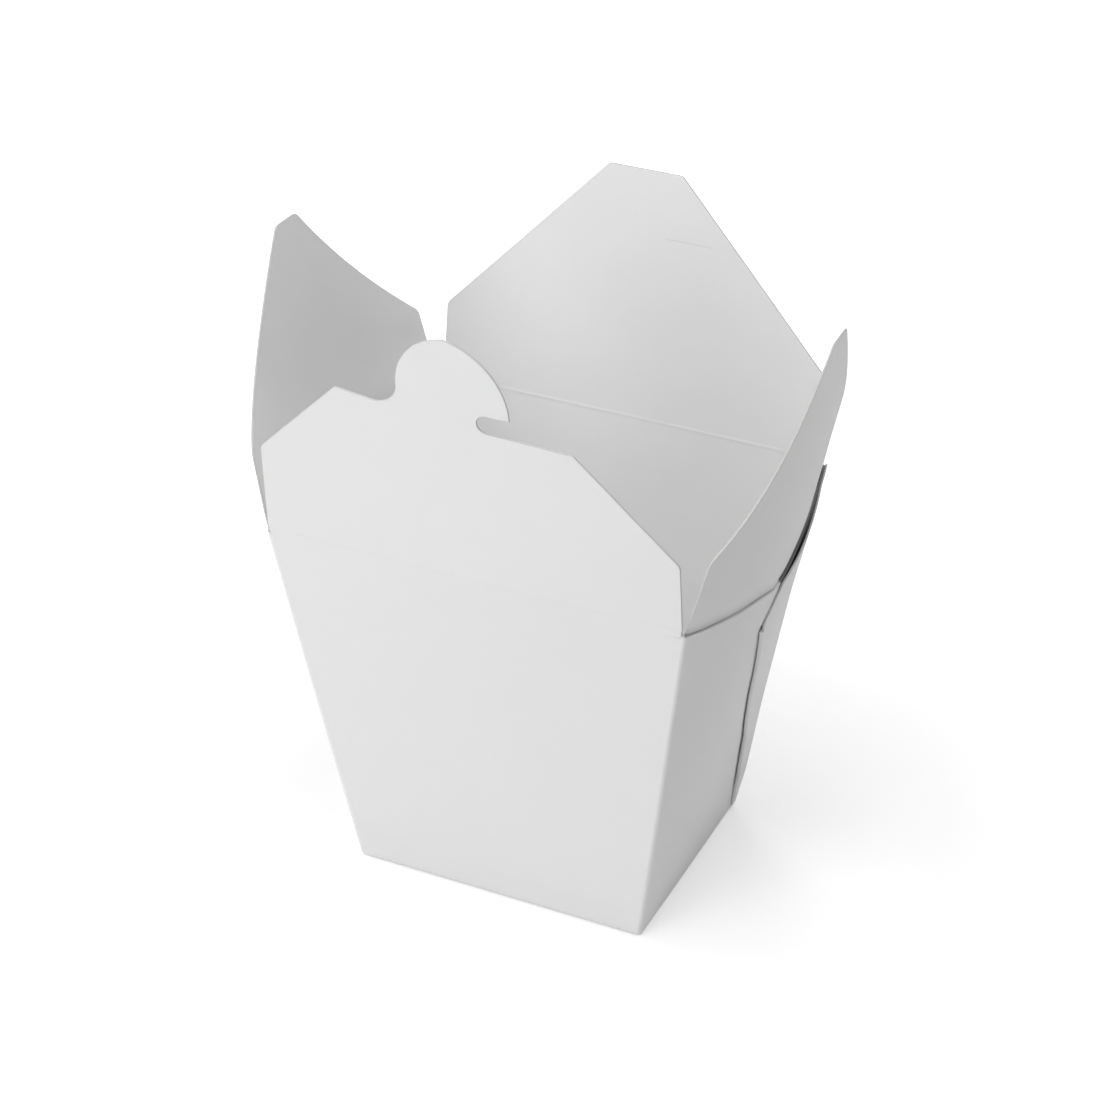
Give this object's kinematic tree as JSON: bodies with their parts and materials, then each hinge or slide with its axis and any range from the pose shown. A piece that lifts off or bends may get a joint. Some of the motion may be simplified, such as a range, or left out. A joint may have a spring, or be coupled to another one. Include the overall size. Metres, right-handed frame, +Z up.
{
  "type": "folded food pail",
  "caption": "Open tapered food pail folded from one sheet of white board, with curved side walls, tuck flaps and a hooked front flap.",
  "frame": {"origin": "middle of the bottom, on the surface that the pail stands on", "axes": "+Z up, -Y towards the front wall with the hook flap, +X towards a side wall"},
  "size_m": [0.126, 0.0945, 0.1488],
  "materials": {
    "white_board": "coated, soft satin"
  },
  "bodies": {
    "carton": {"folded_carton": "white_board"},
    "front": {"front_flap": "white_board"},
    "back": {"back_flap": "white_board"}
  },
  "joints": [
    {"name": "front_flap_hinge", "type": "hinge", "parent": "carton", "child": "front", "pos_m": [0, -0.03927, 0.09], "axis": [-1, 0, 0], "range_deg": [-60, 96]},
    {"name": "back_flap_hinge", "type": "hinge", "parent": "carton", "child": "back", "pos_m": [0, 0.03927, 0.09], "axis": [1, 0, 0], "range_deg": [-60, 99.6]}
  ]
}
